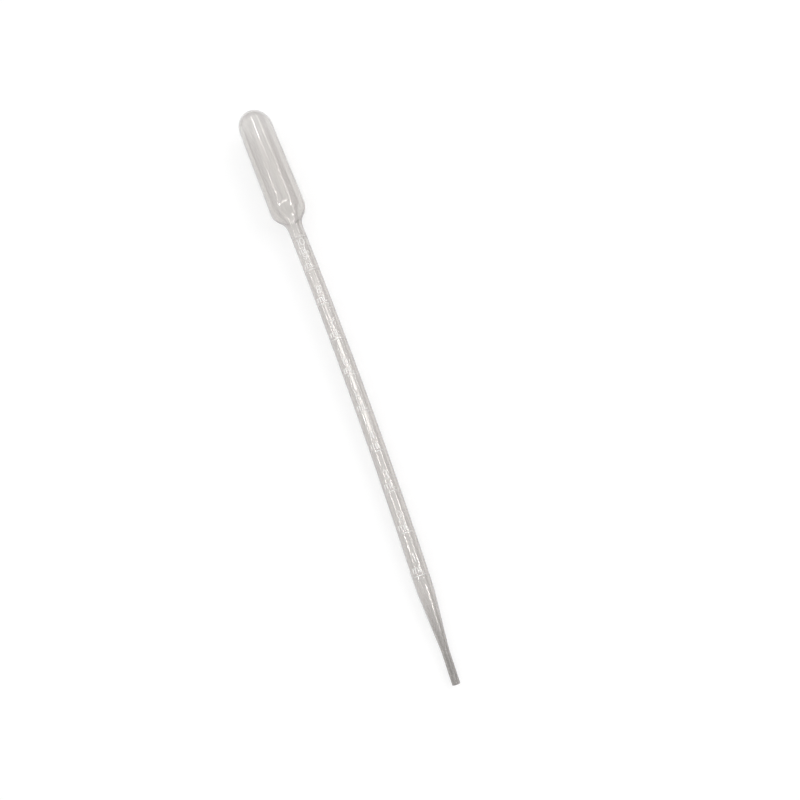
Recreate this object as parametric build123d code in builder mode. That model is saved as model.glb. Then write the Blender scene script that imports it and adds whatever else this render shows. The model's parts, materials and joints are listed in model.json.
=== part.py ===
"""A long graduated transfer pipette, blow-moulded in one piece from low-density polyethylene.

It lies on a flat surface: +Z is up, +Y runs towards the bulb, and the origin is on the surface, in the
middle of its footprint. The stem bows slightly to +X. The two mould halves met in the plane of that bow.
"""

import os
from math import asin, atan2, cos, degrees, hypot, pi, sin, sqrt, tan

from build123d import *

os.makedirs("parts", exist_ok=True)

# ---- Driving dimensions (mm) ----
overall_length = 330.0  # tip face to the top of the dome, along the axis

bulb_length = 82.0  # start of the neck to the top of the dome
dome_diameter = 19.6
shoulder_diameter = 20.3  # the bulb widens down to its shoulder, as its draft
shoulder_round = 8.0
neck_round = 13.0
neck_length = 1.1  # straight neck before that round
bulb_wall = 0.5

stem_diameter = 8.45
stem_wall = 0.35
bow_radius = 3490.0  # the stem's gentle bow

taper_length = 33.7  # end of the bowed stem to the start of the straight tip
taper_lead = 5.3  # straight stem before the cone
taper_blend = 115.0  # round between that and the cone
tip_blend = 65.0  # round between the cone and the tip
tip_length = 16.0
tip_diameter = 3.65
tip_wall = 0.7
blend_share = 0.9  # how much of a straight run its blend may take up

flash_height = 0.08  # the ridge that the mould's parting line leaves on both sides
flash_width = 0.3
pinch_length = 7.0  # the weld where the mould pinched the bulb shut
pinch_height = 0.3
pinch_width = 0.7

mark_volume = 1000.0  # mm3 between graduation lines: 1 mL
mark_count = 10
mark_width = 0.45
mark_height = 0.2

# ---- Worked-out sizes ----
stem_radius = stem_diameter / 2
bore_radius = stem_radius - stem_wall
tip_radius = tip_diameter / 2
stem_length = overall_length - bulb_length - taper_length - tip_length
dome_rise = bulb_length - dome_diameter / 2
shoulder_centre = shoulder_diameter / 2 - shoulder_round
neck_centre = stem_radius + neck_round
neck_reach = sqrt((neck_round + shoulder_round) ** 2 - (neck_centre - shoulder_centre) ** 2)
shoulder_rise = neck_length + neck_reach  # start of the neck to the widest circle

# ---- How it lies: on the bulb's shoulder and on the round at the top of the taper ----
half_slope = atan2(stem_radius - tip_radius, taper_length - taper_lead) / 2
top_round = min(taper_blend, blend_share * taper_lead / tan(half_slope))
reach = stem_length + shoulder_rise + taper_lead - top_round * tan(half_slope)
drop = shoulder_centre - stem_radius + top_round
tilt = asin((shoulder_round - top_round) / hypot(reach, drop)) + atan2(drop, reach)
half_turn = stem_length / 2 / bow_radius
bulb_lean = bow_radius * (1 - cos(half_turn)) + (dome_rise + shoulder_rise) / 2 * sin(half_turn)
middle_x = bulb_lean - (shoulder_diameter - dome_diameter) / 4
middle_y = (taper_length + tip_length - bulb_length - pinch_height) / 2
height = shoulder_centre * cos(tilt) + shoulder_round - (stem_length / 2 + shoulder_rise) * sin(tilt)
parting = Plane((middle_x, middle_y, height)).rotated((degrees(tilt), 0, 0))


def along(rise):
    """The parting plane moved along the bowed axis, its Y up the axis. Rise is from the stem's middle."""
    turn = rise / bow_radius
    spot = Pos(bow_radius * (cos(turn) - 1), bow_radius * sin(turn))
    return Plane(parting.location * spot * Rot(Z=degrees(turn)))


def across(rise):
    """The plane square to the bowed axis, its Y up, away from the surface the pipette lies on."""
    here = along(rise)
    return Plane(here.origin, x_dir=-here.x_dir, z_dir=here.y_dir)


def bulb_profile(bulb_inset, neck_inset):
    """Half of the bulb and neck, inset by the walls: the neck starts at Y = 0, the axis is X = 0."""
    neck_radius = stem_radius - neck_inset
    wide_radius = shoulder_diameter / 2 - bulb_inset
    dome_radius = dome_diameter / 2 - bulb_inset
    round_radius = shoulder_round - bulb_inset
    floor = shoulder_rise - round_radius
    with BuildSketch() as profile:
        with BuildLine():
            Polyline((0, dome_rise + dome_radius), (0, floor), (shoulder_centre, floor))
            RadiusArc((shoulder_centre, floor), (wide_radius, shoulder_rise), -round_radius)
            Line((wide_radius, shoulder_rise), (dome_radius, dome_rise))
            RadiusArc((dome_radius, dome_rise), (0, dome_rise + dome_radius), -dome_radius)
        make_face()
        Rectangle(neck_radius, shoulder_rise, align=(Align.MIN, Align.MIN))
        neck = profile.vertices().filter_by(lambda v: abs(v.X - neck_radius) < 1e-6 < v.Y)
        fillet(neck, neck_round + neck_inset)
    return profile.sketch


def tip_profile(stem_inset, tip_inset):
    """Half of the taper and tip, inset by the walls: the stem ends at Y = 0, the axis is X = 0."""
    top_radius = stem_radius - stem_inset
    end_radius = tip_radius - tip_inset
    cone_length = taper_length - taper_lead
    foot = -taper_length - tip_length
    ease = tan(atan2(top_radius - end_radius, cone_length) / 2)
    with BuildSketch() as profile:
        with BuildLine():
            Polyline(
                (0, 0),
                (top_radius, 0),
                (top_radius, -taper_lead),
                (end_radius, -taper_length),
                (end_radius, foot),
                (0, foot),
                close=True,
            )
        make_face()
        corners = profile.vertices().filter_by(lambda v: v.X > 0 and foot < v.Y < 0).sort_by(Axis.Y)
        fillet(corners[-1], min(taper_blend, blend_share * taper_lead / ease))
        fillet(corners[0], min(tip_blend, blend_share * tip_length / ease))
    return profile.sketch


# ---- Where the three stretches meet ----
bulb_plane = along(stem_length / 2)
tip_plane = along(-stem_length / 2)
bulb_axis = Axis(bulb_plane.origin, bulb_plane.y_dir)
tip_axis = Axis(tip_plane.origin, tip_plane.y_dir)
bow_axis = Axis((parting.location * Pos(-bow_radius, 0)).position, parting.z_dir)
bow_turn = degrees(2 * half_turn)

# The space inside the taper and tip holds the first millilitre, or nearly.
with BuildPart() as tip_bore:
    with BuildSketch(tip_plane):
        add(tip_profile(stem_wall, tip_wall))
    revolve(axis=tip_axis)

with BuildPart() as cavity:
    add(tip_bore.part)
    with BuildSketch(across(-stem_length / 2)):
        Circle(bore_radius)
    revolve(axis=bow_axis, revolution_arc=bow_turn)
    with BuildSketch(bulb_plane):
        add(bulb_profile(bulb_wall, stem_wall))
    revolve(axis=bulb_axis)


def mark_rise(count):
    """Where the pipette, held upright and filled from its tip, holds this many millilitres."""
    above_taper = count * mark_volume - tip_bore.part.volume
    return above_taper / (pi * bore_radius**2) - stem_length / 2


with BuildPart() as pipette:
    # The moulded outside: tip and taper, bowed stem with its parting lines, bulb.
    with BuildSketch(tip_plane):
        add(tip_profile(0, 0))
    revolve(axis=tip_axis)
    with BuildSketch(across(-stem_length / 2)):
        Circle(stem_radius)
        Rectangle(2 * (stem_radius + flash_height), flash_width)
    revolve(axis=bow_axis, revolution_arc=bow_turn)
    with BuildSketch(bulb_plane):
        add(bulb_profile(0, 0))
    revolve(axis=bulb_axis)

    # The parting lines down the tip, and up the bulb and over its dome.
    with BuildSketch(tip_plane):
        add(tip_profile(-flash_height, -flash_height))
        mirror(about=Plane.YZ)
    extrude(amount=flash_width / 2, both=True)
    with BuildSketch(bulb_plane):
        add(bulb_profile(-flash_height, -flash_height))
        mirror(about=Plane.YZ)
    extrude(amount=flash_width / 2, both=True)

    # The weld across the dome.
    with BuildSketch(bulb_plane):
        add(bulb_profile(-pinch_height, -flash_height))
        mirror(about=Plane.YZ)
        with Locations((0, bulb_length)):
            Rectangle(pinch_length, dome_diameter, mode=Mode.INTERSECT)
    extrude(amount=pinch_width / 2, both=True)

    # The graduation: raised lines on the upper side, which die away at the parting lines.
    for count in range(1, mark_count + 1):
        with BuildSketch(across(mark_rise(count))):
            with Locations((0, mark_height)):
                Circle(stem_radius)
        extrude(amount=mark_width / 2, both=True)

    add(cavity.part, mode=Mode.SUBTRACT)

pipette.part.label = "pipette"
export_step(pipette.part, "parts/pipette.step")
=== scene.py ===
"""A clear polyethylene transfer pipette, lying on a white surface under soft light.

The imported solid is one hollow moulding. A finer shell of the same form stands for it here: one closed mesh
of its outside, tip face and inside, with the raised graduation, the numerals and the mould's fine marks.
Sizes are in millimetres until the mesh is made, and are those of the solid.
"""

import json
import math

import bpy
import numpy as np
from mathutils import Matrix, Vector

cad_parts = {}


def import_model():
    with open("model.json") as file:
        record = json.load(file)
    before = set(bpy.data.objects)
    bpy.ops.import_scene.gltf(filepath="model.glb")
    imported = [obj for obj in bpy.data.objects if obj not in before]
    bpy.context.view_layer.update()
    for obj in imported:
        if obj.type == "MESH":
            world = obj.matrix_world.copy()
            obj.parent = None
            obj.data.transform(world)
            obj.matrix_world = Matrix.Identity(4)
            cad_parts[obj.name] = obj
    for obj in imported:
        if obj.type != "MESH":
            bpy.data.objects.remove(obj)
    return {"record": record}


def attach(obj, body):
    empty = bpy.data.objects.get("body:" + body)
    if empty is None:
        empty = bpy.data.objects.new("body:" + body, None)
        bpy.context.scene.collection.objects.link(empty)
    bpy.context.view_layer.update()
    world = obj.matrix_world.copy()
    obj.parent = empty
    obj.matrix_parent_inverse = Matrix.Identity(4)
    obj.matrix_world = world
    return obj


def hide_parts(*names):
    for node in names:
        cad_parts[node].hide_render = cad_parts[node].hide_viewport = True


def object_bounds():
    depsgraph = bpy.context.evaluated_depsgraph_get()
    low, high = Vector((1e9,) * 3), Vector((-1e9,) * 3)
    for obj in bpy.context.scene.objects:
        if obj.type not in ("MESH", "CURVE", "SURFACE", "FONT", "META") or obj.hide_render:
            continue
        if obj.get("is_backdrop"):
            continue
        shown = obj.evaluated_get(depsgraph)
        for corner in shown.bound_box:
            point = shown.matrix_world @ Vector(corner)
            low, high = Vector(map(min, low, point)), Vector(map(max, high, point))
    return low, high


MM = 0.001

# ---- Sizes of the moulding (mm), measured along its axis from the tip ----
OVERALL_LENGTH = 330.0
BULB_LENGTH = 82.0
DOME_RADIUS = 9.8
SHOULDER_RADIUS = 10.15
SHOULDER_ROUND = 8.0
NECK_ROUND = 13.0
NECK_LENGTH = 1.1
BULB_WALL = 0.5
STEM_RADIUS = 4.225
STEM_WALL = 0.35
BOW_RADIUS = 3490.0
TAPER_LENGTH = 33.7
TAPER_LEAD = 5.3
TAPER_BLEND = 115.0
TIP_BLEND = 65.0
BLEND_SHARE = 0.9
TIP_LENGTH = 16.0
TIP_RADIUS = 1.825
TIP_WALL = 0.7

# ---- Worked-out sizes (mm) ----
STEM_START = TIP_LENGTH + TAPER_LENGTH
NECK_START = OVERALL_LENGTH - BULB_LENGTH
STEM_LENGTH = NECK_START - STEM_START
DOME_CENTRE = OVERALL_LENGTH - DOME_RADIUS
SHOULDER_INSET = SHOULDER_RADIUS - SHOULDER_ROUND
NECK_OFFSET = STEM_RADIUS + NECK_ROUND - SHOULDER_INSET
NECK_REACH = math.sqrt((NECK_ROUND + SHOULDER_ROUND) ** 2 - NECK_OFFSET**2)
SHOULDER_CENTRE = NECK_START + NECK_LENGTH + NECK_REACH
BORE_RADIUS = STEM_RADIUS - STEM_WALL

# ---- Raised detail (mm). A flank is how far an edge takes to fall. ----
FLASH_HEIGHT, FLASH_WIDTH, FLASH_FLANK = 0.08, 0.3, 0.08
FLASH_SIDES = 0.5  # sine of the angle from the top, past which there is a parting line
PINCH_HEIGHT, PINCH_WIDTH, PINCH_LENGTH = 0.3, 0.7, 7.0
PINCH_FLANK, PINCH_END_FLANK = 0.16, 0.4
MARK_COUNT = 10
MARK_VOLUME = 1000.0  # mm3 of bore between lines: 1 mL
MARK_SPACING = MARK_VOLUME / (math.pi * BORE_RADIUS**2)
FIRST_MARK = 1.72  # above the stem's lower end, where the solid has it
MARK_HEIGHT, MARK_WIDTH, MARK_FLANK = 0.2, 0.45, 0.12
NUMERAL_HEIGHT, UNIT_HEIGHT = 4.2, 3.6
UNIT_GAP, NUMERAL_GAP = 1.5, 1.4
GLYPH_NARROWING = 0.85
STROKE_WIDTH, STROKE_HEIGHT, STROKE_FLANK = 0.42, 0.25, 0.14
END_ROUND = 0.1  # on both edges of the tip face

# ---- Rings and columns of the mesh (mm, and degrees from the top) ----
STEM_STEP, TAPER_STEP, LETTER_STEP = 3.0, 1.2, 0.2
BORE_STEM_STEP, BORE_TAPER_STEP = 6, 1.6
MARK_RINGS = (-0.5, -0.34, -0.28, -0.225, -0.17, 0, 0.17, 0.225, 0.28, 0.34, 0.5)
FINE_CLEARANCE = 0.12  # between a plain ring and the rings of a line or a letter
NECK_CLEARANCE = 0.1  # between the stem's last ring and the neck's first
END_COUNT = 4  # points of the round at the tip face
OUTER_COUNTS = (14, 16, 26, 44)  # points of the neck, shoulder, side and dome
INNER_COUNTS = (14, 16, 14, 24)
LETTER_ANGLES = np.arange(-35, 35.1, 2.1875)
LETTER_SWEEP = 36  # the lettering lies within this on both sides
FLANK_ANGLES = (38, 42, 47, 53, 59, 65, 71, 77)
PARTING_STEPS = (0.1, 0.15, 0.2, 0.28, 0.36, 0.44)  # mm to each side of a parting line
PARTING_RADIUS = 2.6  # on smaller rings, those steps shrink
UNDER_ANGLES = np.arange(106, 180, 7.4)
STREAK_LENGTH = 400.0  # how slowly the streaks change along the drawn plastic

# ---- Camera: the photograph's viewpoint ----
CAMERA_LENS, CAMERA_SENSOR = 29.52, 36  # mm
CAMERA_CLIP, CAMERA_DISTANCE = 0.01, 0.3462  # m
CAMERA_TILT, CAMERA_SWING, CAMERA_ROLL = 18.82, 5.61, 20.84  # degrees
CAMERA_AIM = (-28.6, 22.47)  # mm along and across from the middle of the pipette

# ---- Looks ----
# What the plastic takes from the light per mm of wall (red, green and blue), at places along the pipette
# (m from its middle). On the stem and bulb this is the wall's own haziness; towards the tip there is more, as
# painted shade for the tip's dark look.
HAZE_AND_TIP_SHADE = (
    (-0.158, (0.31, 0.33, 0.345, 1)),
    (-0.125, (0.15, 0.17, 0.182, 1)),
    (-0.085, (0.14, 0.16, 0.175, 1)),
    (0.060, (0.10, 0.12, 0.13, 1)),
    (0.085, (0.035, 0.045, 0.055, 1)),
    (0.140, (0.02, 0.03, 0.04, 1)),
    (0.155, (0.0, 0.0, 0.0, 1)),
)
PLASTIC_IOR = 1.51
SURFACE_TINT = ((0.815, 0.801, 0.791, 1), (0.915, 0.901, 0.891, 1))
# Painted glints: the raised graduation and lettering are of the same clear plastic, but are made pale, less
# clear and matt to stand in for their glints.
TRANSMISSION, GLINT_PAINT_TRANSMISSION = 0.92, 0.35
GLINT_PAINT_COLOUR = (0.98, 0.975, 0.97, 1)  # of the graduation
ROUGH_LOW, ROUGH_HIGH = 0.03, 0.07
GLINT_PAINT_ROUGH, INSIDE_ROUGH, TIP_ROUGH = 0.3, 0.12, 0.26
# Painted shade: the tip's bore is tinted darker for the tip's dark core; this and the tip's roughness fade
# out over the span below.
TIP_BORE_PAINTED_SHADE = (0.49, 0.48, 0.472, 1)
TIP_SPAN = (-0.154, -0.120)  # m from the middle: the tip's own looks fade out between these
PATCH_SCALE, PATCH_STRETCH, PATCH_DETAIL = 60, (1, 0.4, 1), 3
PATCH_EDGES = (0.3, 0.7)
PORE_SCALE, PORE_STRETCH, PORE_DETAIL = 2600, (1, 1, 1), 2
STREAK_SCALE, STREAK_DETAIL, STREAK_GRAIN = 7.0, 3.0, 0.6
STREAK_EDGES, STREAK_ROUGH_EDGES = (0.35, 0.65), (0.3, 0.7)
STREAK_TINT, STREAK_SHARE = 0.7, 1.5  # of the tint, and of the bump beside the pores
BUMP_STRENGTH, BUMP_DISTANCE = 0.022, 0.00002

# ---- Floor, room and lamps ----
FLOOR_COLOUR, FLOOR_BOUNCE = (0.36, 0.36, 0.36, 1), (0.85, 0.85, 0.85, 1)
FLOOR_GLOW = 0.68
FLOOR_HALF = 2.0  # m
FLOOR_GAP = 0.02  # mm under the pipette
WORLD_LIGHT = (0.88, 0.88, 0.88, 1)  # on matt surfaces
WHITE = (1, 1, 1, 1)
# What the gloss sees of the room: how far a direction points to the room's bright top, and the radiance.
SKY = ((0.06, 0.00), (0.44, 0.62), (0.78, 1.00), (0.90, 1.15))
SKY_TOP = (-0.36, 0.0, 1.0)

# The soft boxes of a light tent, level over the pipette. Each has its span along the pipette and across it
# (mm from its middle), and its radiance: what a ray that meets it sees. They give the gloss. The broad lamp
# and the room light what is matt.
LAMP_HEIGHT = 0.745  # m
WARM = (1, 0.99, 0.97)
LAMPS = (
    dict(name="left_high", along=(330, 640), across=(-665, -585), radiance=11.0),
    dict(name="left_middle", along=(215, 330), across=(-570, -490), radiance=11.0),
    dict(name="left_low", along=(-125, 215), across=(-475, -390), radiance=18.0),
    dict(name="right_high", along=(470, 660), across=(530, 600), radiance=7.0),
    dict(name="right_middle", along=(330, 620), across=(925, 995), radiance=12.0),
    dict(name="right_bend", along=(150, 330), across=(700, 780), radiance=6.0),
    dict(name="right_low", along=(-160, 150), across=(535, 620), radiance=14.0),
    dict(name="over_taper", along=(-400, -200), across=(450, 590), radiance=17.0),
    dict(name="far_right", along=(-1400, -480), across=(950, 1500), radiance=2.5),
    dict(name="over_stem", along=(120, 340), across=(-220, 270), radiance=4.8),
    dict(name="over_stem_end", along=(340, 410), across=(-100, 200), radiance=2.0),
    dict(name="left_of_bulb", along=(640, 730), across=(-435, -385), radiance=11.0),
    dict(name="right_of_bulb", along=(780, 905), across=(700, 755), radiance=13.0),
    dict(name="over_dome", along=(740, 950), across=(4, 54), radiance=11.0),
    dict(name="over_dome_end", along=(700, 740), across=(20, 95), radiance=3.0),
    dict(name="beside_dome", along=(955, 1400), across=(670, 745), radiance=5.5),
    dict(name="broad", along=(-210, 640), across=(530, 1380), radiance=2.3, matt=True),
)


# ======== The axis ========


class Axis:
    """The pipette's bowed centre line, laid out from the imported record's tip mount."""

    def __init__(self, record):
        tip = next(m for m in record["mounts"] if m["name"] == "tip")
        self.up_tip = -np.array(tip["axis"]) / np.linalg.norm(tip["axis"])
        tilt = math.atan2(self.up_tip[2], self.up_tip[1])
        self.above = np.array([0.0, -math.sin(tilt), math.cos(tilt)])
        self.side_tip = np.cross(self.up_tip, self.above)
        self.tip = np.array(tip["pos_m"]) / MM - self.up_tip * TIP_LENGTH / 2

    def at(self, height):
        """Centre, direction towards the bulb, and sideways direction, at heights above the tip."""
        height = np.asarray(height, float)[:, None]
        turn = np.clip((height - STEM_START) / BOW_RADIUS, 0, STEM_LENGTH / BOW_RADIUS)
        way = self.up_tip * np.cos(turn) - self.side_tip * np.sin(turn)
        side = self.up_tip * np.sin(turn) + self.side_tip * np.cos(turn)
        below = np.minimum(height, STEM_START)
        beyond = np.maximum(height - NECK_START, 0)
        bow = self.up_tip * np.sin(turn) - self.side_tip * (1 - np.cos(turn))
        return self.tip + self.up_tip * below + bow * BOW_RADIUS + way * beyond, way, side


# ======== The profile: radius along the axis ========


def eased(distance, ease):
    """A ramp that starts at 0 with a rounded corner, reaching ease on both sides of it."""
    inside = (distance + ease) ** 2 / (4 * ease)
    return np.where(distance < -ease, 0, np.where(distance > ease, distance, inside))


def lower_radius(height, tip_radius, stem_radius):
    """Tip, taper and stem, from the tip up to the neck."""
    slope = (stem_radius - tip_radius) / (TAPER_LENGTH - TAPER_LEAD)
    start = eased(height - TIP_LENGTH, min(TIP_BLEND * slope / 2, BLEND_SHARE * TIP_LENGTH))
    stem_ease = min(TAPER_BLEND * slope / 2, BLEND_SHARE * TAPER_LEAD)
    end = eased(height - (STEM_START - TAPER_LEAD), stem_ease)
    return tip_radius + slope * (start - end)


def arc(centre, radius, start, end, count):
    """Points of a circle in the profile's plane, as (height, radius), angles from the outward direction."""
    angles = np.radians(np.linspace(start, end, count))
    return np.column_stack([centre[0] + radius * np.sin(angles), centre[1] + radius * np.cos(angles)])


def bulb_profile(wall, neck_wall, counts):
    """Neck, shoulder, drafted side and dome, as (height, radius) from the neck to the pole."""
    neck_radius = STEM_RADIUS - neck_wall
    neck_round = NECK_ROUND + neck_wall
    round_radius = SHOULDER_ROUND - wall
    dome_radius = DOME_RADIUS - wall
    across = neck_radius + neck_round - SHOULDER_INSET
    along = math.sqrt((round_radius + neck_round) ** 2 - across**2)
    meeting = math.degrees(math.atan2(along, across))
    neck_centre = (SHOULDER_CENTRE - along, neck_radius + neck_round)
    neck_count, shoulder_count, side_count, dome_count = counts
    neck = arc(neck_centre, neck_round, 180, 180 - meeting, neck_count)
    shoulder = arc((SHOULDER_CENTRE, SHOULDER_INSET), round_radius, -meeting, 0, shoulder_count)
    side = np.linspace(shoulder[-1], (DOME_CENTRE, dome_radius), side_count)
    dome = arc((DOME_CENTRE, 0), dome_radius, 0, 90, dome_count)
    return np.vstack([neck[:-1], shoulder[:-1], side[:-1], dome])


def profile_normals(points):
    """Outward unit normals of a (height, radius) profile."""
    along = np.gradient(points, axis=0)
    normals = np.column_stack([-along[:, 1], along[:, 0]])
    normals /= np.linalg.norm(normals, axis=1)[:, None]
    normals[-1] = (1, 0)
    return normals


# ======== Lettering ========


def curve(centre, radii, start, end, pieces=10):
    """An elliptical arc as a run of points, angles in degrees from the right."""
    angles = np.radians(np.linspace(start, end, pieces + 1))
    return [(centre[0] + radii[0] * math.cos(a), centre[1] + radii[1] * math.sin(a)) for a in angles]


# Each glyph is its width and its strokes, where a numeral is 1 high.
GLYPHS = {
    "0": (0.60, [curve((0.30, 0.50), (0.30, 0.50), 0, 360, 20)]),
    "1": (0.30, [[(0.02, 0.80), (0.26, 1.0), (0.26, 0.0)]]),
    "2": (0.60, [curve((0.30, 0.70), (0.29, 0.30), 170, -32) + [(0.0, 0.0), (0.60, 0.0)]]),
    "3": (0.60, [curve((0.28, 0.76), (0.26, 0.24), 150, -90) + curve((0.28, 0.27), (0.31, 0.27), 90, -150)]),
    "4": (0.64, [[(0.46, 0.0), (0.46, 1.0), (0.0, 0.30), (0.64, 0.30)]]),
    "5": (0.60, [[(0.56, 1.0), (0.10, 1.0), (0.05, 0.56)] + curve((0.28, 0.33), (0.31, 0.33), 135, -145)]),
    "6": (0.60, [curve((0.62, 0.32), (0.62, 0.68), 105, 180), curve((0.30, 0.30), (0.30, 0.30), 0, 360, 18)]),
    "7": (0.60, [[(0.0, 1.0), (0.60, 1.0), (0.20, 0.0)]]),
    "8": (
        0.60,
        [curve((0.30, 0.76), (0.24, 0.24), 0, 360, 16), curve((0.30, 0.26), (0.30, 0.26), 0, 360, 18)],
    ),
    "9": (0.60, [curve((-0.02, 0.68), (0.62, 0.68), -75, 0), curve((0.30, 0.70), (0.30, 0.30), 0, 360, 18)]),
    "m": (
        0.84,
        [
            [(0.0, 0.0), (0.0, 0.68)],
            curve((0.21, 0.46), (0.21, 0.22), 180, 0) + [(0.42, 0.0)],
            curve((0.63, 0.46), (0.21, 0.22), 180, 0) + [(0.84, 0.0)],
        ],
    ),
    "L": (0.46, [[(0.0, 1.0), (0.0, 0.0), (0.46, 0.0)]]),
}
GLYPH_SPACE = 0.26  # between glyphs


def lettering(text, height, base):
    """The strokes of centred text as straight segments (mm): round and along the stem, for both ends."""
    width = sum(GLYPHS[glyph][0] for glyph in text) + GLYPH_SPACE * (len(text) - 1)
    left = -width / 2
    scale = np.array([height * GLYPH_NARROWING, height])
    segments = []
    for glyph in text:
        for run in GLYPHS[glyph][1]:
            points = (np.array(run) + (left, 0)) * scale + (0, base)
            segments.append(np.hstack([points[:-1], points[1:]]))
        left += GLYPHS[glyph][0] + GLYPH_SPACE
    return np.vstack(segments)


def mark_at(count):
    """Height of a graduation line above the tip."""
    return STEM_START + FIRST_MARK + (count - 1) * MARK_SPACING


def legends():
    """Every mark's numeral and unit, as (lowest height, highest height, segments)."""
    for count in range(1, MARK_COUNT + 1):
        unit_base = mark_at(count) + UNIT_GAP
        number_base = unit_base + UNIT_HEIGHT + NUMERAL_GAP
        if count == MARK_COUNT:  # the neck is too near for text above the last line
            number_base = mark_at(count) - UNIT_GAP - NUMERAL_HEIGHT
            unit_base = number_base - NUMERAL_GAP - UNIT_HEIGHT
        unit = lettering("mL", UNIT_HEIGHT, unit_base)
        number = lettering(str(count), NUMERAL_HEIGHT, number_base)
        low = min(unit_base, number_base) - STROKE_WIDTH
        high = max(unit_base + UNIT_HEIGHT, number_base + NUMERAL_HEIGHT) + STROKE_WIDTH
        yield low, high, np.vstack([unit, number])


def distance_to(segments, girth, height):
    """Distance of each surface point from the nearest stroke, on the unrolled surface."""
    point = np.stack([girth, height], axis=-1)[..., None, :]
    start, run = segments[:, :2], segments[:, 2:] - segments[:, :2]
    share = ((point - start) * run).sum(-1) / np.maximum((run**2).sum(-1), 1e-9)
    nearest = start + np.clip(share, 0, 1)[..., None] * run
    return np.linalg.norm(point - nearest, axis=-1).min(axis=-1)


# ======== Relief on the outside ========


def plateau(distance, half_width, flank):
    """1 within the half width, falling smoothly to 0 across the flank."""
    share = np.clip((half_width + flank / 2 - distance) / flank, 0, 1)
    return share * share * (3 - 2 * share)


def relief(profile, angles):
    """How far each point of the outside is raised, and how far it takes the painted glints of the graduation.
    """
    height, radius = profile[:, :1], profile[:, 1:]
    off_parting = np.abs(radius * np.cos(angles))
    flash = FLASH_HEIGHT * plateau(off_parting, FLASH_WIDTH / 2, FLASH_FLANK)
    flash *= np.abs(np.sin(angles)) > FLASH_SIDES
    along_weld = plateau(np.abs(radius * np.sin(angles)), PINCH_LENGTH / 2, PINCH_END_FLANK)
    across_weld = plateau(off_parting, PINCH_WIDTH / 2, PINCH_FLANK)
    weld = PINCH_HEIGHT * across_weld * np.where(height > DOME_CENTRE, along_weld, 0)
    raised = np.maximum(flash, weld)

    girth = radius * angles
    fading = np.maximum(np.cos(angles), 0)
    # The share of painted glints: pale and matt on the lines and the lettering.
    glint_paint = np.zeros_like(raised)
    for count in range(1, MARK_COUNT + 1):
        line = plateau(np.abs(height - mark_at(count)), MARK_WIDTH / 2, MARK_FLANK)
        raised = np.maximum(raised, MARK_HEIGHT * line * fading)
        glint_paint = np.maximum(glint_paint, line * fading**2)
    for low, high, segments in legends():
        rings = np.flatnonzero((profile[:, 0] > low) & (profile[:, 0] < high))
        front = np.flatnonzero(np.abs(angles[rings[0]]) < math.radians(LETTER_SWEEP))
        block = np.ix_(rings, front)
        heights = np.broadcast_to(height[rings], girth[block].shape)
        distance = distance_to(segments, girth[block], heights)
        strokes = plateau(distance, STROKE_WIDTH / 2, STROKE_FLANK)
        raised[block] = np.maximum(raised[block], STROKE_HEIGHT * strokes)
        glint_paint[block] = np.maximum(glint_paint[block], strokes)
    return raised, glint_paint


# ======== The shell ========


def spaced(start, end, step):
    """Places from start to end, about a step apart."""
    return np.linspace(start, end, max(2, round((end - start) / step) + 1))


def girth_angles(radius):
    """Angles from the top round one ring, closest where the lettering and the parting lines are."""
    beside = np.array(PARTING_STEPS) / max(radius, PARTING_RADIUS)
    parting = np.pi / 2 + np.concatenate([-beside[::-1], [0], beside])
    half = np.concatenate([np.radians(FLANK_ANGLES), parting, np.radians(UNDER_ANGLES)])
    return np.concatenate([np.radians(LETTER_ANGLES), half, [np.pi], -half[::-1]])


def outer_heights():
    """Heights of the rings from the tip to the neck, close together on the lines and the lettering."""
    taper = spaced(END_ROUND, STEM_START, TAPER_STEP)
    plain = np.concatenate([taper, spaced(STEM_START, NECK_START, STEM_STEP)])
    fine = [mark_at(count) + offset for count in range(1, MARK_COUNT + 1) for offset in MARK_RINGS]
    for low, high, _ in legends():
        fine.extend(spaced(low, high, LETTER_STEP))
    clear = np.abs(plain[:, None] - np.array(fine)).min(axis=1) > FINE_CLEARANCE
    return np.unique(np.round(np.concatenate([plain[clear], fine]), 4))


def outer_profile():
    """The outside as (height, radius), from the tip face to the pole of the dome."""
    heights = outer_heights()
    heights = heights[heights < NECK_START - NECK_CLEARANCE]
    lower = np.column_stack([heights, lower_radius(heights, TIP_RADIUS, STEM_RADIUS)])
    end = arc((END_ROUND, TIP_RADIUS - END_ROUND), END_ROUND, -90, 0, END_COUNT)
    return np.vstack([end[:-1], lower, bulb_profile(0, 0, OUTER_COUNTS)])


def inner_profile():
    """The inside, in the same way."""
    taper = spaced(END_ROUND, STEM_START, BORE_TAPER_STEP)
    heights = np.concatenate([taper, spaced(STEM_START, NECK_START, BORE_STEM_STEP)[1:-1]])
    lower = np.column_stack([heights, lower_radius(heights, TIP_RADIUS - TIP_WALL, BORE_RADIUS)])
    end = arc((END_ROUND, TIP_RADIUS - TIP_WALL + END_ROUND), END_ROUND, 270, 180, END_COUNT)
    return np.vstack([end[:-1], lower, bulb_profile(BULB_WALL, STEM_WALL, INNER_COUNTS)])


def surface(axis, profile, angles, raised):
    """Rings of points for a profile, and the pole at its end."""
    normals = profile_normals(profile)
    centre, way, side = axis.at(profile[:, 0])
    outward = np.sin(angles)[..., None] * side[:, None] + np.cos(angles)[..., None] * axis.above
    reach = profile[:, 1:] + normals[:, 1:] * raised
    shift = normals[:, :1] * raised
    points = centre[:, None] + outward * reach[..., None] + way[:, None] * shift[..., None]
    return points[:-1], points[-1].mean(axis=0)


def way_of_drawing(profile, angles):
    """A place for each point, which changes slowly along the pipette and fast round it, for the streaks."""
    height = np.broadcast_to(profile[:, :1] / STREAK_LENGTH, angles.shape)
    return np.stack([np.cos(angles), np.sin(angles), height], axis=-1)[:-1]


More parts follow.
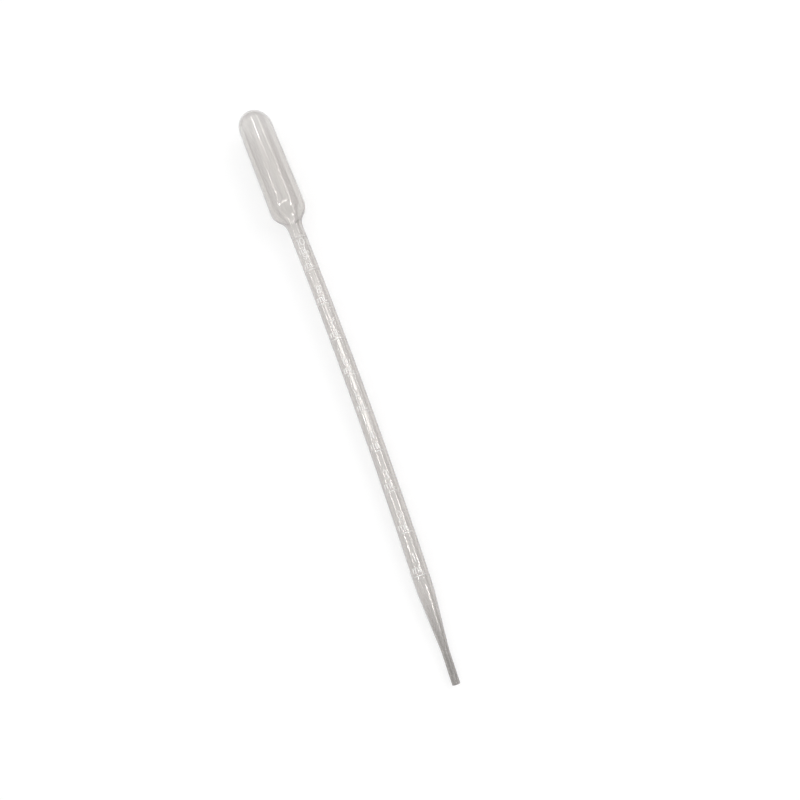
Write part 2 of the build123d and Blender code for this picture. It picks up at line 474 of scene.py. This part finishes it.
def pipette_shell(axis):
    """The moulding as one closed mesh: outside, tip face and inside."""
    outer, inner = outer_profile(), inner_profile()
    outer_angles = np.array([girth_angles(radius) for radius in outer[:, 1]])
    inner_angles = np.array([girth_angles(radius) for radius in inner[:, 1]])
    raised, glint_paint = relief(outer, outer_angles)
    outside, outer_pole = surface(axis, outer, outer_angles, raised)
    inside, inner_pole = surface(axis, inner, inner_angles, np.zeros_like(inner_angles))
    columns = outside.shape[1]
    grid = np.concatenate([inside[::-1].reshape(-1, 3), outside.reshape(-1, 3)])
    rings = len(inside) + len(outside)
    points = np.vstack([grid, inner_pole, outer_pole]) * MM

    this = np.arange(columns)
    after = (this + 1) % columns
    faces = []
    for low in range(0, (rings - 1) * columns, columns):
        high = low + columns
        faces.extend(np.column_stack([low + this, low + after, high + after, high + this]).tolist())
    last, poles = (rings - 1) * columns, rings * columns
    faces.extend(np.column_stack([after, this, np.full(columns, poles)]).tolist())
    faces.extend(np.column_stack([last + this, last + after, np.full(columns, poles + 1)]).tolist())
    mesh = bpy.data.meshes.new("pipette_moulding")
    mesh.from_pydata(points.tolist(), [], faces)
    mesh.validate()
    mesh.shade_smooth()

    inner_count, outer_count = inside.size // 3, outside.size // 3
    # The graduation's share carries the painted glints.
    shares = {
        "graduation": np.concatenate([np.zeros(inner_count), glint_paint[:-1].ravel(), [0, 0]]),
        "inside": np.concatenate([np.ones(inner_count), np.zeros(outer_count), [1, 0]]),
    }
    for name, share in shares.items():
        mesh.attributes.new(name, "FLOAT", "POINT").data.foreach_set("value", share)
    drawn = np.vstack([way_of_drawing(inner, inner_angles)[::-1], way_of_drawing(outer, outer_angles)])
    pole = [0, 0, OVERALL_LENGTH / STREAK_LENGTH]
    drawn = np.vstack([drawn.reshape(-1, 3), [pole, pole]])
    mesh.attributes.new("drawn", "FLOAT_VECTOR", "POINT").data.foreach_set("vector", drawn.ravel())

    shell = bpy.data.objects.new("pipette_moulding", mesh)
    bpy.context.scene.collection.objects.link(shell)
    return shell


# ======== Materials ========


def node_tools(material):
    """Short ways to add and join nodes in a material's or the world's tree."""
    material.use_nodes = True
    tree = material.node_tree
    tree.nodes.clear()

    def add(kind, **values):
        node = tree.nodes.new(kind)
        for name, value in values.items():
            if name in node.inputs:
                node.inputs[name].default_value = value
            else:
                setattr(node, name, value)
        return node

    def join(out, into):
        tree.links.new(out, into)

    return add, join


def set_stops(node, stops):
    """Give a colour ramp its stops, as (place, colour)."""
    elements = node.color_ramp.elements
    while len(elements) < len(stops):
        elements.new(1)
    for element, (place, colour) in zip(elements, stops):
        element.position, element.color = place, colour


def polyethylene():
    """Clear low-density polyethylene: glossy, hazy, with faint streaks along the drawn stem, painted shade at
    the tip and painted glints on the graduation.
    """
    material = bpy.data.materials.new("clear_polyethylene")
    add, join = node_tools(material)
    place = add("ShaderNodeTexCoord").outputs["Object"]

    def noise(scale, stretch, detail):
        mapping = add("ShaderNodeMapping")
        mapping.inputs["Scale"].default_value = stretch
        join(place, mapping.inputs["Vector"])
        texture = add("ShaderNodeTexNoise", Scale=scale, Detail=detail)
        join(mapping.outputs["Vector"], texture.inputs["Vector"])
        return texture.outputs["Fac"]

    def ramp(factor, low, high, start, end):
        node = add("ShaderNodeMapRange")
        for name, value in (("From Min", start), ("From Max", end), ("To Min", low), ("To Max", high)):
            node.inputs[name].default_value = value
        join(factor, node.inputs["Value"])
        return node.outputs["Result"]

    def colour_mix(factor, first, second):
        """A colour that goes from the first socket's to the second, a plain colour."""
        mix = add("ShaderNodeMix", data_type="RGBA")
        join(factor, mix.inputs["Factor"])
        join(first, mix.inputs["A"])
        mix.inputs["B"].default_value = second
        return mix.outputs["Result"]

    # Streaks run along the drawn plastic, patches over all of it.
    patches = noise(PATCH_SCALE, PATCH_STRETCH, PATCH_DETAIL)
    drawn = add("ShaderNodeAttribute", attribute_name="drawn").outputs["Vector"]
    streaking = add("ShaderNodeTexNoise", Scale=STREAK_SCALE, Detail=STREAK_DETAIL, Roughness=STREAK_GRAIN)
    join(drawn, streaking.inputs["Vector"])
    streaks = streaking.outputs["Fac"]
    blotch = add("ShaderNodeMix", Factor=STREAK_TINT)
    join(ramp(patches, 0, 1, *PATCH_EDGES), blotch.inputs["A"])
    join(ramp(streaks, 0, 1, *STREAK_EDGES), blotch.inputs["B"])
    tint = add("ShaderNodeMix", data_type="RGBA")
    tint.inputs["A"].default_value, tint.inputs["B"].default_value = SURFACE_TINT
    join(blotch.outputs["Result"], tint.inputs["Factor"])

    # Painted shade: the inside of the tip is tinted darker, and the tip is rougher. Painted glints: the
    # graduation and lettering are pale and matt.
    split = add("ShaderNodeSeparateXYZ")
    join(place, split.inputs[0])
    lengthwise = split.outputs["Y"]
    tip = ramp(lengthwise, 1, 0, *TIP_SPAN)
    inside = add("ShaderNodeAttribute", attribute_name="inside").outputs["Fac"]
    glint_paint = add("ShaderNodeAttribute", attribute_name="graduation").outputs["Fac"]
    tip_bore_shade = add("ShaderNodeMath", operation="MULTIPLY")
    join(tip, tip_bore_shade.inputs[0])
    join(inside, tip_bore_shade.inputs[1])
    colour = colour_mix(tip_bore_shade.outputs[0], tint.outputs["Result"], TIP_BORE_PAINTED_SHADE)
    colour = colour_mix(glint_paint, colour, GLINT_PAINT_COLOUR)
    roughness = ramp(streaks, ROUGH_LOW, ROUGH_HIGH, *STREAK_ROUGH_EDGES)
    for share, matt in ((glint_paint, GLINT_PAINT_ROUGH), (inside, INSIDE_ROUGH), (tip, TIP_ROUGH)):
        rougher = add("ShaderNodeMix", B=matt)
        join(share, rougher.inputs["Factor"])
        join(roughness, rougher.inputs["A"])
        roughness = rougher.outputs["Result"]

    relief_height = add("ShaderNodeMath", operation="MULTIPLY_ADD")
    relief_height.inputs[1].default_value = STREAK_SHARE
    join(streaks, relief_height.inputs[0])
    join(noise(PORE_SCALE, PORE_STRETCH, PORE_DETAIL), relief_height.inputs[2])
    bump = add("ShaderNodeBump", Strength=BUMP_STRENGTH, Distance=BUMP_DISTANCE)
    join(relief_height.outputs[0], bump.inputs["Height"])

    shader = add("ShaderNodeBsdfPrincipled", IOR=PLASTIC_IOR)
    # Painted glints: the graduation lets less light through.
    join(ramp(glint_paint, TRANSMISSION, GLINT_PAINT_TRANSMISSION, 0, 1), shader.inputs["Transmission Weight"])
    join(colour, shader.inputs["Base Color"])
    join(roughness, shader.inputs["Roughness"])
    join(bump.outputs["Normal"], shader.inputs["Normal"])
    output = add("ShaderNodeOutputMaterial")
    join(shader.outputs["BSDF"], output.inputs["Surface"])

    # How hazy the wall is, with painted shade laid in towards the tip.
    start, end = HAZE_AND_TIP_SHADE[0][0], HAZE_AND_TIP_SHADE[-1][0]
    haze_and_tip_shade = add("ShaderNodeValToRGB")
    join(ramp(lengthwise, 0, 1, start, end), haze_and_tip_shade.inputs["Fac"])
    set_stops(haze_and_tip_shade, [((place - start) / (end - start), taken) for place, taken in HAZE_AND_TIP_SHADE])
    left = add("ShaderNodeVectorMath", operation="SUBTRACT")
    left.inputs[0].default_value = (1, 1, 1)
    join(haze_and_tip_shade.outputs["Color"], left.inputs[1])
    body = add("ShaderNodeVolumeAbsorption", Density=1 / MM)
    join(left.outputs["Vector"], body.inputs["Color"])
    join(body.outputs[0], output.inputs["Volume"])
    return material


def seen_directly(add, join):
    """1 for camera, glossy and transmission rays, and 0 for the rays that light matt surfaces."""
    path = add("ShaderNodeLightPath")
    either = add("ShaderNodeMath", operation="MAXIMUM")
    join(path.outputs["Is Camera Ray"], either.inputs[0])
    join(path.outputs["Is Glossy Ray"], either.inputs[1])
    seen = add("ShaderNodeMath", operation="MAXIMUM")
    join(either.outputs[0], seen.inputs[0])
    join(path.outputs["Is Transmission Ray"], seen.inputs[1])
    return seen.outputs[0]


def white_surface():
    """Matt white floor that shows as plain white and keeps a faint shadow."""
    material = bpy.data.materials.new("white_surface")
    add, join = node_tools(material)
    seen = add("ShaderNodeBsdfDiffuse", Color=FLOOR_COLOUR)
    glow = add("ShaderNodeEmission", Strength=FLOOR_GLOW)
    both = add("ShaderNodeAddShader")
    join(seen.outputs[0], both.inputs[0])
    join(glow.outputs[0], both.inputs[1])
    mix = add("ShaderNodeMixShader")
    join(seen_directly(add, join), mix.inputs["Fac"])
    join(add("ShaderNodeBsdfDiffuse", Color=FLOOR_BOUNCE).outputs[0], mix.inputs[1])
    join(both.outputs[0], mix.inputs[2])
    output = add("ShaderNodeOutputMaterial")
    join(mix.outputs[0], output.inputs["Surface"])
    return material


# ======== Stage ========


def floor(low):
    """The surface that the pipette lies on, just under its lowest point."""
    mesh = bpy.data.meshes.new("floor")
    half = FLOOR_HALF
    corners = [(-half, -half, 0), (half, -half, 0), (half, half, 0), (-half, half, 0)]
    mesh.from_pydata(corners, [], [(0, 1, 2, 3)])
    plane = bpy.data.objects.new("floor", mesh)
    plane.location.z = low.z - FLOOR_GAP * MM
    plane.data.materials.append(white_surface())
    bpy.context.scene.collection.objects.link(plane)
    plane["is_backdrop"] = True


def world():
    """Soft light from all round. The gloss sees a pale ceiling over a dark horizon, the camera only white."""
    room = bpy.data.worlds.new("room")
    bpy.context.scene.world = room
    add, join = node_tools(room)
    height = add("ShaderNodeVectorMath", operation="DOT_PRODUCT")
    join(add("ShaderNodeTexCoord").outputs["Generated"], height.inputs[0])
    height.inputs[1].default_value = SKY_TOP
    sky = add("ShaderNodeValToRGB")
    set_stops(sky, [(place, (radiance, radiance, radiance, 1)) for place, radiance in SKY])
    join(height.outputs["Value"], sky.inputs["Fac"])
    light = add("ShaderNodeMix", data_type="RGBA")
    light.inputs["A"].default_value = WORLD_LIGHT
    join(seen_directly(add, join), light.inputs["Factor"])
    join(sky.outputs["Color"], light.inputs["B"])
    plain = add("ShaderNodeMix", data_type="RGBA")
    join(add("ShaderNodeLightPath").outputs["Is Camera Ray"], plain.inputs["Factor"])
    join(light.outputs["Result"], plain.inputs["A"])
    plain.inputs["B"].default_value = WHITE
    background = add("ShaderNodeBackground")
    join(plain.outputs["Result"], background.inputs["Color"])
    output = add("ShaderNodeOutputWorld")
    join(background.outputs[0], output.inputs["Surface"])


class View:
    """Directions at the middle of the pipette: along it towards the bulb, across it, and up from it."""

    def __init__(self, axis):
        ends, _, _ = axis.at([0, OVERALL_LENGTH])
        self.middle = Vector(ends.mean(axis=0) * MM)
        self.along = Vector(ends[1] - ends[0]).normalized()
        self.across = self.along.cross(Vector((0, 0, 1))).normalized()
        self.up = self.across.cross(self.along)

    def direction(self, tilt, swing):
        """Away from the object, leaning towards the tip by tilt and to the right by swing (degrees)."""
        tilt, swing = math.radians(tilt), math.radians(swing)
        lean = self.up * math.cos(tilt) - self.along * math.sin(tilt)
        return lean * math.cos(swing) + self.across * math.sin(swing)

    def point(self, along, across):
        """A place in the pipette's plane, in mm from its middle."""
        return self.middle + (self.along * along + self.across * across) * MM


def facing(location, target, top):
    """A matrix at location whose -Z looks at the target and whose Y is nearest to top."""
    back = (location - target).normalized()
    right = top.cross(back).normalized()
    turn = Matrix((right, back.cross(right), back)).transposed()
    return Matrix.Translation(location) @ turn.to_4x4()


def camera(view):
    """The camera, over the pipette and a little towards its tip."""
    lens = bpy.data.cameras.new("camera")
    lens.lens = CAMERA_LENS
    lens.sensor_width = CAMERA_SENSOR
    lens.clip_start = CAMERA_CLIP
    eye = bpy.data.objects.new("camera", lens)
    location = view.middle + view.direction(CAMERA_TILT, CAMERA_SWING) * CAMERA_DISTANCE
    target = view.point(*CAMERA_AIM)
    forward = (target - location).normalized()
    top = (view.along - forward * view.along.dot(forward)).normalized()
    top = Matrix.Rotation(math.radians(CAMERA_ROLL), 3, forward) @ top
    eye.matrix_world = facing(location, target, top)
    bpy.context.scene.collection.objects.link(eye)
    bpy.context.scene.camera = eye


def soft_lamp(view, name, along, across, radiance, matt=False):
    """A level rectangular lamp. Only the gloss sees it or, where it is a matt lamp, only what isn't gloss."""
    light = bpy.data.lights.new(name, "AREA")
    light.shape = "RECTANGLE"
    light.size, light.size_y = (across[1] - across[0]) * MM, (along[1] - along[0]) * MM
    light.energy = radiance * math.pi * light.size * light.size_y
    light.color = WARM
    lamp = bpy.data.objects.new(name, light)
    under = view.point(sum(along) / 2, sum(across) / 2)
    lamp.matrix_world = facing(under + view.up * LAMP_HEIGHT, under, view.along)
    lamp.visible_diffuse, lamp.visible_glossy, lamp.visible_transmission = matt, not matt, not matt
    lamp.visible_camera = False
    bpy.context.scene.collection.objects.link(lamp)


def main():
    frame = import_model()
    cad_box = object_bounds()
    axis = Axis(frame["record"])
    view = View(axis)
    camera(view)

    shell = pipette_shell(axis)
    shell.data.materials.append(polyethylene())
    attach(shell, "root")
    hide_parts("pipette")

    floor(cad_box[0])
    world()
    for lamp in LAMPS:
        soft_lamp(view, **lamp)

    visual_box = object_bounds()
    plain = [[list(corner) for corner in box] for box in (cad_box, visual_box)]
    json.dumps(plain[0]) + "\n" + json.dumps(plain[1]) + "\n"


bpy.context.scene.view_settings.view_transform = "Standard"
main()
